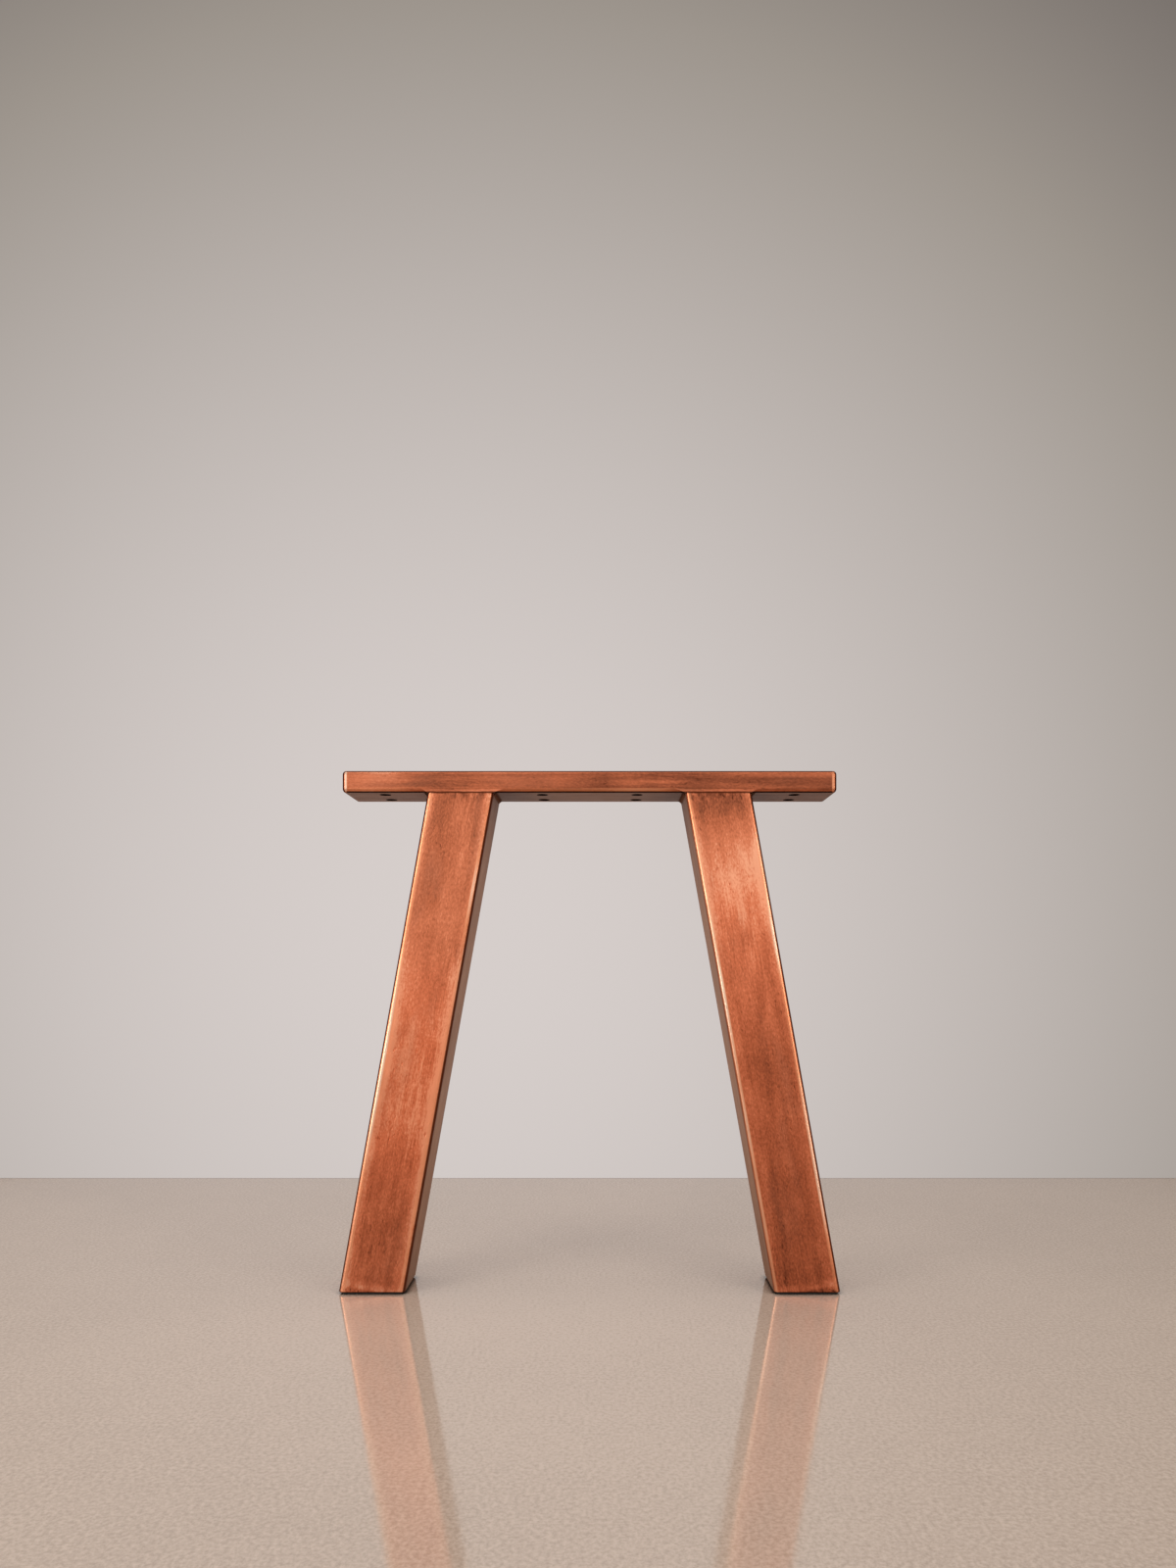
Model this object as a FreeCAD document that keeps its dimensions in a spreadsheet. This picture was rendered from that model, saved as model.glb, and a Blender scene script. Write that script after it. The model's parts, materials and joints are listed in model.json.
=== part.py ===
import FreeCAD, Part
import math
import os

import Sketcher

# Welded trestle table leg: a flat rail of rectangular tube on two splayed legs of square tube.
# Origin on the floor midway between the feet, +X along the rail, +Y to the back, +Z up.
# The legs are one and the same piece, turned half round about the vertical, and so are their
# welds, plates and pads.

# Driving dimensions in millimetres and degrees
SIZES = [
    ("overall_height", 720.0, "floor to the top of the rail"),
    ("rail_length", 680.0, "rail with its two end caps"),
    ("rail_depth", 90.0, "rail and legs, front face to back face"),
    ("rail_height", 30.0, "rail, underside to top"),
    ("rail_wall", 3.0, "wall of the rail's tube"),
    ("rail_corner_radius", 6.0, "outer radius of the rail's rolled edges"),
    ("cap_thickness", 5.0, "plate that closes each end of the rail"),
    ("cap_edge_radius", 4.5, "ground edge of the end cap"),
    ("leg_width", 90.0, "leg across its front face, square to its length"),
    ("leg_wall", 3.0, "wall of the leg's tube"),
    ("leg_corner_radius", 6.0, "outer radius of the leg's rolled edges"),
    ("leg_spread", 446.0, "outer faces of the two legs, measured under the rail"),
    ("splay_angle", 10.1, "lean of each leg from the vertical"),
    ("foot_plate_thickness", 4.0, "plate that closes each leg at the floor"),
    ("foot_edge_radius", 2.0, "rounded lower edge of the foot plate"),
    ("foot_pad_thickness", 2.0, "pad glued under each foot"),
    ("foot_pad_inset", 3.0, "pad edge inside the foot plate's edge"),
    ("outer_hole_inset", 55.0, "outer screw holes, in from each end of the rail"),
    ("inner_hole_spacing", 132.0, "inner screw holes, along the rail"),
    ("hole_row_spacing", 45.0, "front row to back row of holes"),
    ("screw_hole_diameter", 8.5, "screw hole in the rail's top wall"),
    ("driver_hole_diameter", 16.0, "hole for the driver in the rail's underside"),
    ("fillet_weld_radius", 5.0, "hollow face of the fillet weld"),
    ("fillet_weld_run_out", 1.5, "length over which each end of the fillet weld tapers off"),
    ("flush_weld_outer_run", 10.0, "ground weld tapering out beyond the leg's outer face"),
    ("flush_weld_inner_run", 17.0, "ground weld tapering out beyond the leg's inner face"),
    ("flush_weld_gap", 0.1, "clearance of the flush weld from the rail's rolled edge"),
]

# Names for places that several pieces share, as formulas on the driving dimensions
UNDERSIDE = "(Sizes.overall_height - Sizes.rail_height)"
LEAN_COSINE = "cos(Sizes.splay_angle * 1deg)"
LEG_SECTION_WIDTH = f"(Sizes.leg_width / {LEAN_COSINE})"
LEG_TOP_OFFSET = f"(Sizes.leg_spread / 2 - {LEG_SECTION_WIDTH} / 2)"
LEG_SLOPE = "tan(Sizes.splay_angle * 1deg)"
OUTER_HOLE_SPACING = "(Sizes.rail_length - 2 * Sizes.outer_hole_inset)"
FOOT_LEVEL = "(Sizes.foot_pad_thickness + Sizes.foot_plate_thickness)"

# How far a cutting outline reaches past the piece it trims
OVERCUT = "(Sizes.leg_width)"

# Turn about the vertical that puts a piece on the right or on the left
SIDES = {"right": 0, "left": 180}

doc = FreeCAD.newDocument("trestle_leg")
sheet = doc.addObject("Spreadsheet::Sheet", "Sizes")


def fill_sheet():
    for row, (name, size, note) in enumerate(SIZES, start=1):
        sheet.set(f"A{row}", name)
        sheet.set(f"B{row}", str(size))
        sheet.setAlias(f"B{row}", name)
        sheet.set(f"C{row}", note)
    doc.recompute()


def number(formula):
    """Value of a formula on the sheet, for the first guess of a sketch."""
    found = sheet.evalExpression(formula)
    return float(getattr(found, "Value", found))


def point(x, z):
    return FreeCAD.Vector(x, z, 0)


def new_body(label):
    body = doc.addObject("PartDesign::Body", label)
    body.Label = label
    return body


def new_sketch(body, name, role):
    sketch = body.newObject("Sketcher::SketchObject", name)
    plane = next(f for f in body.Origin.OriginFeatures if f.Role == role)
    sketch.AttachmentSupport = [(plane, "")]
    sketch.MapMode = "FlatFace"
    return sketch


def constrain(sketch, kind, *places, formula=None):
    """Adds one constraint, and binds its size to the sheet where a formula is given."""
    if formula is None:
        sketch.addConstraint(Sketcher.Constraint(kind, *places))
        return
    size = number(formula)
    if kind == "Angle":
        size = math.radians(size)
    index = sketch.addConstraint(Sketcher.Constraint(kind, *places, size))
    sketch.setExpression(f"Constraints[{index}]", formula)


def place(body, x, z, side, tilt="0"):
    """Puts a body at x and z, then leans it and turns it to its side."""
    sign = "" if side == "right" else "-"
    spin = f"rotation({SIDES[side]}; {tilt}; 0)"
    body.setExpression("Placement", f"placement(vector({sign}{x}; 0; {z}); {spin})")


def rounded_rectangle(sketch, width, height, radius):
    """Rectangle centred on the sketch's origin, with four equal corner arcs."""
    a = number(width) / 2
    b = number(height) / 2
    r = number(radius)
    corners = [(a - r, b - r, 0), (r - a, b - r, 1), (r - a, r - b, 2), (a - r, r - b, 3)]
    arcs = []
    for x, z, quarter in corners:
        circle = Part.Circle(point(x, z), FreeCAD.Vector(0, 0, 1), r)
        start = quarter * math.pi / 2
        arcs.append(sketch.addGeometry(Part.ArcOfCircle(circle, start, start + math.pi / 2)))
    top = (point(a - r, b), point(r - a, b))
    left = (point(-a, b - r), point(-a, r - b))
    bottom = (point(r - a, -b), point(a - r, -b))
    right = (point(a, r - b), point(a, b - r))
    lines = [sketch.addGeometry(Part.LineSegment(p, q)) for p, q in (top, left, bottom, right)]
    for i in range(4):
        constrain(sketch, "Tangent", arcs[i], 2, lines[i], 1)
        constrain(sketch, "Tangent", lines[i], 2, arcs[(i + 1) % 4], 1)
        constrain(sketch, "Vertical" if i % 2 else "Horizontal", lines[i])
    for arc in arcs[1:]:
        constrain(sketch, "Equal", arcs[0], arc)
    constrain(sketch, "Radius", arcs[0], formula=radius)
    constrain(sketch, "DistanceX", arcs[1], 3, arcs[0], 3, formula=f"{width} - 2 * {radius}")
    constrain(sketch, "DistanceY", arcs[3], 3, arcs[0], 3, formula=f"{height} - 2 * {radius}")
    constrain(sketch, "Symmetric", arcs[0], 3, arcs[2], 3, -1, 1)


def polygon(sketch, corners):
    """Closed polygon whose corners are pairs of formulas, each bound to the sheet."""
    spots = [(number(x), number(z)) for x, z in corners]
    count = len(spots)
    lines = []
    for i in range(count):
        ends = (point(*spots[i]), point(*spots[(i + 1) % count]))
        lines.append(sketch.addGeometry(Part.LineSegment(*ends)))
    for i in range(count):
        constrain(sketch, "Coincident", lines[i], 2, lines[(i + 1) % count], 1)
        x, z = corners[i]
        constrain(sketch, "DistanceX", lines[i], 1, formula=x)
        constrain(sketch, "DistanceY", lines[i], 1, formula=z)


def pad(body, name, profile, length, centred=False, backward=False, length_behind=None):
    feature = body.newObject("PartDesign::Pad", name)
    feature.Profile = profile
    feature.SideType = "Symmetric" if centred else "One side"
    feature.Reversed = backward
    feature.setExpression("Length", length)
    if length_behind is not None:
        feature.SideType = "Two sides"
        feature.setExpression("Length2", length_behind)
    doc.recompute()
    return feature


def pocket(body, name, profile, length, centred=False, upward=False):
    """Cuts the profile out of the body, and stops where the cut took nothing away."""
    before = body.Shape.Volume
    feature = body.newObject("PartDesign::Pocket", name)
    feature.Profile = profile
    feature.SideType = "Symmetric" if centred else "One side"
    feature.Reversed = upward
    feature.setExpression("Length", length)
    doc.recompute()
    if not body.Shape.Volume < before:
        raise RuntimeError(f"{name} cuts nothing from {body.Label}")
    return feature


def round_face(body, name, base, radius, is_wanted):
    """Rounds every edge of the one face that is_wanted picks."""
    faces = [f"Face{i}" for i, face in enumerate(base.Shape.Faces, start=1) if is_wanted(face)]
    if len(faces) != 1:
        raise RuntimeError(f"{name} found {len(faces)} faces")
    feature = body.newObject("PartDesign::Fillet", name)
    feature.Base = (base, faces)
    feature.setExpression("Radius", radius)
    doc.recompute()
    return feature


def build_rail():
    """Rectangular tube between the end caps, drilled through its top wall and its underside."""
    body = new_body("top_rail")
    depth = "Sizes.rail_depth"
    height = "Sizes.rail_height"
    wall = "Sizes.rail_wall"
    radius = "Sizes.rail_corner_radius"
    section = new_sketch(body, "rail_section", "YZ_Plane")
    rounded_rectangle(section, depth, height, radius)
    length = "Sizes.rail_length - 2 * Sizes.cap_thickness"
    pad(body, "rail_tube", section, length, centred=True)
    bore = new_sketch(body, "rail_bore_section", "YZ_Plane")
    rounded_rectangle(bore, f"({depth} - 2 * {wall})", f"({height} - 2 * {wall})", f"({radius} - {wall})")
    pocket(body, "rail_bore", bore, "Sizes.rail_length", centred=True)
    drill_rail(body, "screw_holes", "Sizes.screw_hole_diameter", upward=True)
    drill_rail(body, "driver_holes", "Sizes.driver_hole_diameter", upward=False)
    place(body, "0", f"({UNDERSIDE} + {height} / 2)", "right")
    return body


def drill_rail(body, name, diameter, upward):
    """A front and a back row of holes, each with two outer holes and two inner ones."""
    sketch = new_sketch(body, f"{name}_layout", "XY_Plane")
    for spacing in (OUTER_HOLE_SPACING, "Sizes.inner_hole_spacing"):
        for along in ("", "-"):
            for across in ("", "-"):
                x = f"{along}{spacing} / 2"
                y = f"{across}Sizes.hole_row_spacing / 2"
                centre = point(number(x), number(y))
                circle = Part.Circle(centre, FreeCAD.Vector(0, 0, 1), number(diameter) / 2)
                hole = sketch.addGeometry(circle)
                constrain(sketch, "Diameter", hole, formula=diameter)
                constrain(sketch, "DistanceX", hole, 3, formula=x)
                constrain(sketch, "DistanceY", hole, 3, formula=y)
    pocket(body, name, sketch, "Sizes.rail_height", upward=upward)


def build_rail_cap(side):
    """Plate on the end of the rail, with the tube's outline and its outer edges ground round."""
    body = new_body(f"rail_cap_{side}")
    outline = new_sketch(body, f"rail_cap_{side}_outline", "YZ_Plane")
    rounded_rectangle(outline, "Sizes.rail_depth", "Sizes.rail_height", "Sizes.rail_corner_radius")
    plate = pad(body, f"rail_cap_{side}_plate", outline, "Sizes.cap_thickness")
    round_face(body, f"rail_cap_{side}_edge", plate, "Sizes.cap_edge_radius", faces_outward)
    x = "(Sizes.rail_length / 2 - Sizes.cap_thickness)"
    place(body, x, f"({UNDERSIDE} + Sizes.rail_height / 2)", side)
    return body


def faces_outward(face):
    return face.normalAt(0, 0).x > 0.99


def trim_above(body, name, drop):
    """Cuts the leaning body off level, at a height given as its drop below the rail."""
    trim(body, name, drop, f"(2 * {OVERCUT})")


def trim_below(body, name, drop):
    trim(body, name, drop, f"(-2 * {OVERCUT})")


def trim(body, name, drop, reach):
    """Level cut in the leaning frame, where its line falls towards the outside of the leg."""
    sketch = new_sketch(body, f"{name}_line", "XZ_Plane")
    middle = f"(-{drop} / {LEAN_COSINE})"
    fall = f"({OVERCUT} * {LEG_SLOPE})"
    inside = f"(-{OVERCUT})"
    line = [(inside, f"({middle} + {fall})"), (OVERCUT, f"({middle} - {fall})")]
    polygon(sketch, line + [(OVERCUT, f"({middle} + {reach})"), (inside, f"({middle} + {reach})")])
    pocket(body, name, sketch, "2 * Sizes.rail_depth", centred=True)


def leg_blank(body, name, top_drop, bottom_drop):
    """Solid bar of the leg's outline, longer than needed, between two depths below the rail."""
    section = new_sketch(body, f"{name}_section", "XY_Plane")
    rounded_rectangle(section, "Sizes.leg_width", "Sizes.rail_depth", "Sizes.leg_corner_radius")
    margin = f"(Sizes.leg_width * {LEG_SLOPE})"
    top = f"(-{top_drop} / {LEAN_COSINE} + {margin})"
    section.setExpression("AttachmentOffset", f"placement(vector(0; 0; {top}); rotation(0; 0; 0))")
    length = f"({bottom_drop} - {top_drop}) / {LEAN_COSINE} + 2 * {margin}"
    pad(body, f"{name}_bar", section, length, backward=True)


def build_leg(side):
    """Square tube, mitred level under the rail and level above the foot plate."""
    name = f"leg_{side}"
    body = new_body(name)
    drop = f"({UNDERSIDE} - {FOOT_LEVEL})"
    leg_blank(body, name, "0", drop)
    bore = new_sketch(body, f"{name}_bore_section", "XY_Plane")
    wall = "Sizes.leg_wall"
    bore_width = f"(Sizes.leg_width - 2 * {wall})"
    bore_depth = f"(Sizes.rail_depth - 2 * {wall})"
    rounded_rectangle(bore, bore_width, bore_depth, f"(Sizes.leg_corner_radius - {wall})")
    pocket(body, f"{name}_bore", bore, "4 * Sizes.overall_height", centred=True)
    trim_above(body, f"{name}_top_mitre", "0")
    trim_below(body, f"{name}_foot_mitre", drop)
    place(body, LEG_TOP_OFFSET, UNDERSIDE, side, "-Sizes.splay_angle")
    return body


def build_foot_plate(side):
    """Plate that closes the leg, in line with its faces and rounded at the floor."""
    name = f"foot_plate_{side}"
    body = new_body(name)
    top = f"({UNDERSIDE} - {FOOT_LEVEL})"
    bottom = f"({UNDERSIDE} - Sizes.foot_pad_thickness)"
    leg_blank(body, name, top, bottom)
    trim_above(body, f"{name}_top", top)
    trim_below(body, f"{name}_underside", bottom)
    round_face(body, f"{name}_edge", body.Tip, "Sizes.foot_edge_radius", faces_floor)
    place(body, LEG_TOP_OFFSET, UNDERSIDE, side, "-Sizes.splay_angle")
    return body


def faces_floor(face):
    lean = math.radians(number("Sizes.splay_angle"))
    down = FreeCAD.Vector(-math.sin(lean), 0, -math.cos(lean))
    return face.normalAt(0, 0).dot(down) > 0.999


def build_foot_pad(side):
    """Thin pad glued under the foot plate, inside its rounded edge."""
    body = new_body(f"foot_pad_{side}")
    outline = new_sketch(body, f"foot_pad_{side}_outline", "XY_Plane")
    inset = "Sizes.foot_pad_inset"
    width = f"({LEG_SECTION_WIDTH} - 2 * {inset})"
    depth = f"(Sizes.rail_depth - 2 * {inset})"
    rounded_rectangle(outline, width, depth, "Sizes.leg_corner_radius")
    pad(body, f"foot_pad_{side}_sheet", outline, "Sizes.foot_pad_thickness")
    x = f"({LEG_TOP_OFFSET} + ({UNDERSIDE} - Sizes.foot_pad_thickness) * {LEG_SLOPE})"
    place(body, x, "0", side)
    return body


def build_fillet_weld(side, face):
    """Hollow-faced weld in the corner between one side wall of the leg and the rail's underside."""
    name = f"weld_{side}_{face}"
    body = new_body(name)
    outward = 1 if face == "outer" else -1
    section = new_sketch(body, f"{name}_section", "XZ_Plane")
    weld_section(section, outward)
    flat = "(Sizes.rail_depth - 2 * Sizes.rail_corner_radius)"
    pad(body, f"{name}_run", section, flat, centred=True)
    taper = new_sketch(body, f"{name}_taper", "XY_Plane")
    near = f"({outward} * {LEG_SECTION_WIDTH} / 2)"
    far = f"({near} + {outward} * 2 * Sizes.fillet_weld_radius)"
    for end in (1, -1):
        tip = (near, f"{end} * {flat} / 2")
        full = (far, f"{end} * ({flat} / 2 - 2 * Sizes.fillet_weld_run_out)")
        polygon(taper, [tip, full, (far, f"{end} * {flat}"), (near, f"{end} * {flat}")])
    pocket(body, f"{name}_ends", taper, "4 * Sizes.fillet_weld_radius", centred=True)
    place(body, LEG_TOP_OFFSET, UNDERSIDE, side)
    return body


def weld_section(sketch, outward):
    """Corner, the leg's face, the rail's face and the hollow arc tangent to both."""
    lean = math.radians(number("Sizes.splay_angle"))
    radius = number("Sizes.fillet_weld_radius")
    between = math.pi / 2 - outward * lean
    reach = radius / math.tan(between / 2)
    half = number(LEG_SECTION_WIDTH) / 2
    corner = point(outward * half, 0)
    on_rail = corner + point(outward * reach, 0)
    on_leg = corner + point(math.sin(lean) * reach, -math.cos(lean) * reach)
    centre = on_rail + point(0, -radius)
    facing = corner - centre
    middle = centre + facing * (radius / facing.Length)
    rail_line = sketch.addGeometry(Part.LineSegment(corner, on_rail))
    leg_line = sketch.addGeometry(Part.LineSegment(on_leg, corner))
    arc = sketch.addGeometry(Part.Arc(on_rail, middle, on_leg))
    rail_end = nearer_end(sketch, arc, on_rail)
    constrain(sketch, "Coincident", rail_line, 1, leg_line, 2)
    constrain(sketch, "Tangent", rail_line, 2, arc, rail_end)
    constrain(sketch, "Tangent", leg_line, 1, arc, 3 - rail_end)
    constrain(sketch, "Horizontal", rail_line)
    constrain(sketch, "DistanceX", rail_line, 1, formula=f"{outward} * {LEG_SECTION_WIDTH} / 2")
    constrain(sketch, "DistanceY", rail_line, 1, formula="0 mm")
    constrain(sketch, "Angle", leg_line, formula="90 + Sizes.splay_angle")
    constrain(sketch, "Radius", arc, formula="Sizes.fillet_weld_radius")


def build_flush_weld(side, face):
    """Weld that fills the rail's rolled lower edge over the leg, ground level with the face."""
    name = f"weld_{side}_{face}"
    body = new_body(name)
    # The left side is the right side turned half round, so its front is built at the back
    forward = (face == "front") == (side == "right")
    section = new_sketch(body, f"{name}_section", "YZ_Plane")
    edge_section(section, -1 if forward else 1)
    half = f"{LEG_SECTION_WIDTH} / 2"
    outer = f"{half} + Sizes.flush_weld_outer_run"
    inner = f"{half} + Sizes.flush_weld_inner_run"
    pad(body, f"{name}_fill", section, outer, length_behind=inner)
    taper_run(body, f"{name}_outer_run", 1, "Sizes.flush_weld_outer_run")
    taper_run(body, f"{name}_inner_run", -1, "Sizes.flush_weld_inner_run")
    place(body, LEG_TOP_OFFSET, UNDERSIDE, side)
    return body


def edge_section(sketch, outward):
    """The two flat faces carried on to a sharp corner, and the rolled edge that they enclose."""
    depth = number("Sizes.rail_depth")
    roll = number("Sizes.rail_corner_radius")
    radius = roll + number("Sizes.flush_weld_gap")
    rise = roll - math.sqrt(radius * radius - roll * roll)
    corner = point(outward * depth / 2, 0)
    on_face = corner + point(0, rise)
    on_rail = corner + point(-outward * rise, 0)
    centre = corner + point(-outward * roll, roll)
    facing = corner - centre
    middle = centre + facing * (radius / facing.Length)
    face_line = sketch.addGeometry(Part.LineSegment(corner, on_face))
    rail_line = sketch.addGeometry(Part.LineSegment(on_rail, corner))
    arc = sketch.addGeometry(Part.Arc(on_face, middle, on_rail))
    face_end = nearer_end(sketch, arc, on_face)
    constrain(sketch, "Coincident", face_line, 1, rail_line, 2)
    constrain(sketch, "Coincident", face_line, 2, arc, face_end)
    constrain(sketch, "Coincident", rail_line, 1, arc, 3 - face_end)
    constrain(sketch, "Vertical", face_line)
    constrain(sketch, "Horizontal", rail_line)
    constrain(sketch, "DistanceX", face_line, 1, formula=f"{outward} * Sizes.rail_depth / 2")
    constrain(sketch, "DistanceY", face_line, 1, formula="0 mm")
    centre_x = f"{outward} * (Sizes.rail_depth / 2 - Sizes.rail_corner_radius)"
    constrain(sketch, "DistanceX", arc, 3, formula=centre_x)
    constrain(sketch, "DistanceY", arc, 3, formula="Sizes.rail_corner_radius")
    constrain(sketch, "Radius", arc, formula="Sizes.rail_corner_radius + Sizes.flush_weld_gap")


def nearer_end(sketch, arc, spot):
    """Which end of the arc, 1 or 2, lies at the spot, as an arc may be stored either way round."""
    first = (sketch.getPoint(arc, 1) - spot).Length
    second = (sketch.getPoint(arc, 2) - spot).Length
    return 1 if first < second else 2


def taper_run(body, name, outward, run):
    """Grinds the end of the weld to a slope, from the leg's edge up to the rail's flat face."""
    sketch = new_sketch(body, f"{name}_slope", "XZ_Plane")
    edge = f"({outward} * {LEG_SECTION_WIDTH} / 2)"
    # The slope is carried on to twice its length, past the end of the weld
    far = f"({edge} + {outward} * 2 * {run})"
    below = "(-Sizes.rail_corner_radius)"
    polygon(sketch, [(edge, "0 mm"), (far, "2 * Sizes.rail_corner_radius"), (far, below), (edge, below)])
    pocket(body, name, sketch, "2 * Sizes.rail_depth", centred=True)


def check(parts):
    """Stops where a feature failed or a piece has no valid solid."""
    for item in doc.Objects:
        if "Invalid" in item.State or "Error" in item.State:
            raise RuntimeError(f"{item.Label} failed: {item.State}")
    for part in parts:
        if part.Shape.isNull() or not part.Shape.isValid():
            raise RuntimeError(f"{part.Label} has no valid shape")
        if len(part.Shape.Solids) != 1:
            raise RuntimeError(f"{part.Label} has {len(part.Shape.Solids)} solids")


def main():
    fill_sheet()
    parts = [build_rail()]
    for side in SIDES:
        parts.append(build_rail_cap(side))
        parts.append(build_leg(side))
        parts.append(build_foot_plate(side))
        parts.append(build_foot_pad(side))
        for face in ("inner", "outer"):
            parts.append(build_fillet_weld(side, face))
        for face in ("front", "back"):
            parts.append(build_flush_weld(side, face))
    doc.recompute()
    check(parts)
    os.makedirs("parts", exist_ok=True)
    for part in parts:
        part.Shape.exportStep(f"parts/{part.Label}.step")
        print(part.Label, "volume", round(part.Shape.Volume), "cubic mm")


main()
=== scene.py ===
import json
import math

import bmesh
import bpy
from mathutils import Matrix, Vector

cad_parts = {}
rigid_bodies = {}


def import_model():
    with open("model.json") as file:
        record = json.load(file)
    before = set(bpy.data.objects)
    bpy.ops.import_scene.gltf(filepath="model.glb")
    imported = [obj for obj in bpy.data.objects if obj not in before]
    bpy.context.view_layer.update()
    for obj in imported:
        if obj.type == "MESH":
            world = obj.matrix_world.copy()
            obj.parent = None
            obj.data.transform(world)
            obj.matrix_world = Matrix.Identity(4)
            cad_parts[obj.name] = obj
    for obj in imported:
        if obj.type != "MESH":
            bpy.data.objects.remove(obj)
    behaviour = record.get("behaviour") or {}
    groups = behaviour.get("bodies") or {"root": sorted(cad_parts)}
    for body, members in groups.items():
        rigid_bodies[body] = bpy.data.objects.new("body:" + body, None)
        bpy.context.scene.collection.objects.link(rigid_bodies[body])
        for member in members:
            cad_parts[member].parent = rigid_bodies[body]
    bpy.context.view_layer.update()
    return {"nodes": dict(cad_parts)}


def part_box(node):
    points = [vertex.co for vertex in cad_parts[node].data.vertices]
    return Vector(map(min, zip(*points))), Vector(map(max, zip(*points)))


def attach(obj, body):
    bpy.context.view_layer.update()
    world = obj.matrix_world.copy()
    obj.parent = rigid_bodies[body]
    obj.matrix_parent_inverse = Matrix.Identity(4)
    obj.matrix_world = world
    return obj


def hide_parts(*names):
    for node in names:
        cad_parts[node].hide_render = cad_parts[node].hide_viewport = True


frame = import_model()
NODES = frame["nodes"]

# Image and camera, from the photograph's vanishing lines
IMAGE_WIDTH, IMAGE_HEIGHT = 1200, 1600
AXIS_PIXEL_X, AXIS_PIXEL_Y = 615.3, 988.4
FOCAL_PIXELS = 1099.3
SENSOR = 36.0
CAMERA_PLACE = (0.0185, -1.525, 0.4477)

# Places on the part, in metres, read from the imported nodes
SIDES = {"right": 1, "left": -1}
RAIL_LOW, RAIL_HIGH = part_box("top_rail")
UNDERSIDE = RAIL_LOW.z
RAIL_MIDDLE = (UNDERSIDE + RAIL_HIGH.z) / 2
HALF_DEPTH = RAIL_HIGH.y
RAIL_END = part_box("rail_cap_right")[1].x
LEG_LOW, LEG_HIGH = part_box("leg_right")
PAD_LOW, PAD_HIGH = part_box("foot_pad_right")
PAD_MIDDLE = (PAD_LOW.x + PAD_HIGH.x) / 2
LEG_MIDDLE = Vector(((LEG_LOW.x + LEG_HIGH.x) / 2, (LEG_LOW.z + LEG_HIGH.z) / 2))
LEAN = math.atan((PAD_MIDDLE - LEG_MIDDLE.x) / (LEG_MIDDLE.y - PAD_HIGH.z))
LEG_TOP_X = LEG_MIDDLE.x - (UNDERSIDE - LEG_MIDDLE.y) * math.tan(LEAN)
LEG_LENGTH = UNDERSIDE / math.cos(LEAN)
LEG_HALF_WIDTH = HALF_DEPTH


def colour(code):
    """Linear RGBA of a 0xRRGGBB colour."""
    parts = [(code >> shift & 255) / 255 for shift in (16, 8, 0)]
    linear = [c / 12.92 if c <= 0.04045 else ((c + 0.055) / 1.055) ** 2.4 for c in parts]
    return (*linear, 1.0)


def grey(level):
    return (level, level, level, 1.0)


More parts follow.
